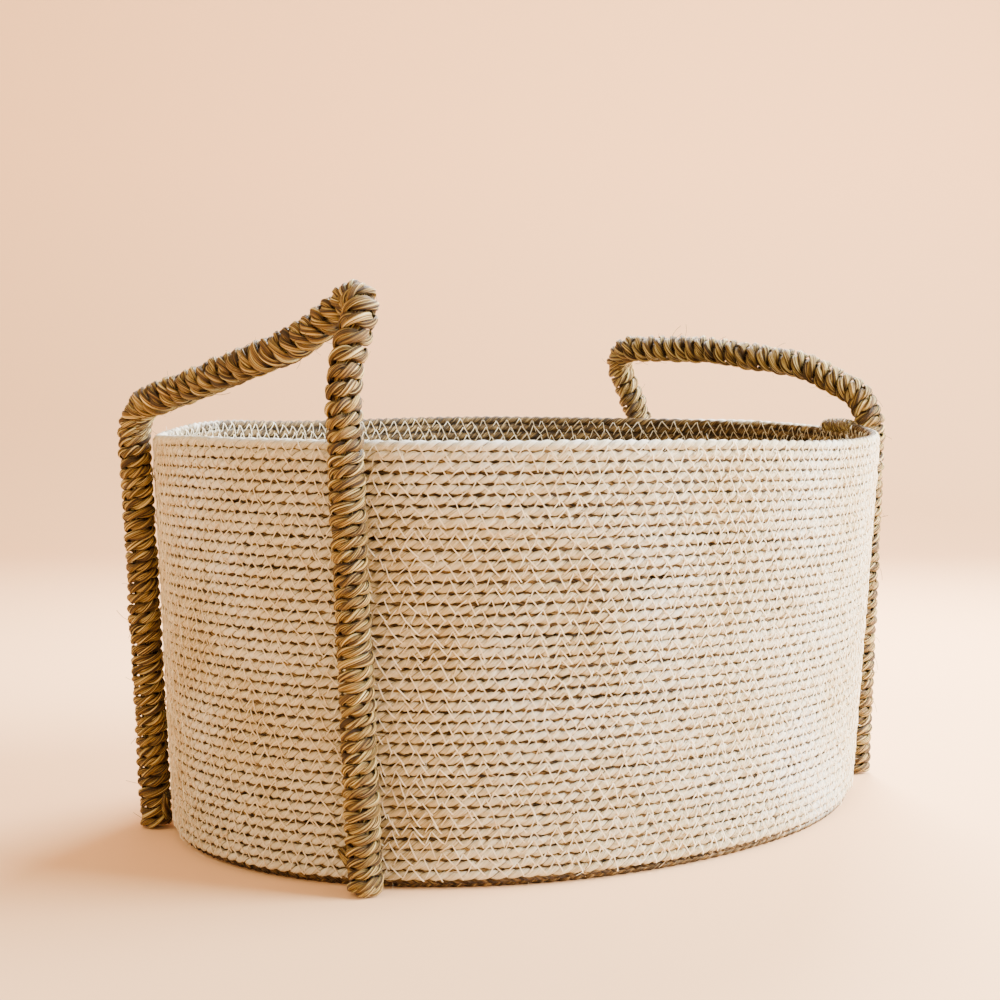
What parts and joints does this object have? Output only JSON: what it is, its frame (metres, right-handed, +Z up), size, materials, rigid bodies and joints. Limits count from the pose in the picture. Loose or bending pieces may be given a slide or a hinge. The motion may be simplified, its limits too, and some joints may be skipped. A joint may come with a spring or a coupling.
{
  "type": "seagrass storage basket",
  "caption": "Oval storage basket of coiled, sewn seagrass cord, whitewashed outside, with upright wound cord handles at its ends that bend in and out at the rim.",
  "frame": {"origin": "centre of the basket's footprint, on the surface it stands on", "axes": "+X along the oval, towards the right handle; +Y across it, towards the back; +Z up"},
  "size_m": [0.5138, 0.4324, 0.3349],
  "materials": {
    "whitewashed_seagrass": "chalky whitewash over brown twisted seagrass cord, sewn with pale thread",
    "bare_seagrass": "natural brown twisted seagrass cord, sewn with pale thread",
    "wound_seagrass": "two-ply seagrass cord, golden to olive brown, dry and slightly waxy",
    "grass_bundle": "straight dry grass stems",
    "soft_wire": "dull annealed steel wire",
    "sewing_thread": "pale matt sewing thread"
  },
  "bodies": {
    "basket": {"base_coil": "bare_seagrass", "wall_coil": "whitewashed_seagrass", "rim_coil": "whitewashed_seagrass", "left_handle_wire": "soft_wire", "left_front_leg_bundle": "grass_bundle", "left_front_leg_winding": "wound_seagrass", "left_front_lashing": "sewing_thread", "left_front_cord_tail": "wound_seagrass", "left_back_leg_bundle": "grass_bundle", "left_back_leg_winding": "wound_seagrass", "left_back_lashing": "sewing_thread", "left_back_cord_tail": "wound_seagrass", "right_handle_wire": "soft_wire", "right_front_leg_bundle": "grass_bundle", "right_front_leg_winding": "wound_seagrass", "right_front_lashing": "sewing_thread", "right_front_cord_tail": "wound_seagrass", "right_back_leg_bundle": "grass_bundle", "right_back_leg_winding": "wound_seagrass", "right_back_lashing": "sewing_thread", "right_back_cord_tail": "wound_seagrass"},
    "left_handle_arch": {"left_arch_bundle": "grass_bundle", "left_arch_winding": "wound_seagrass"},
    "right_handle_arch": {"right_arch_bundle": "grass_bundle", "right_arch_winding": "wound_seagrass"}
  },
  "joints": [
    {"name": "left_handle_bend", "type": "hinge", "parent": "basket", "child": "left_handle_arch", "pos_m": [-0.23916, 0, 0.25], "axis": [0, 1, 0], "range_deg": [-30, 20], "deforming": ["left_handle_wire"]},
    {"name": "right_handle_bend", "type": "hinge", "parent": "basket", "child": "right_handle_arch", "pos_m": [0.23445, 0, 0.25], "axis": [0, -1, 0], "range_deg": [-30, 20], "deforming": ["right_handle_wire"]}
  ]
}
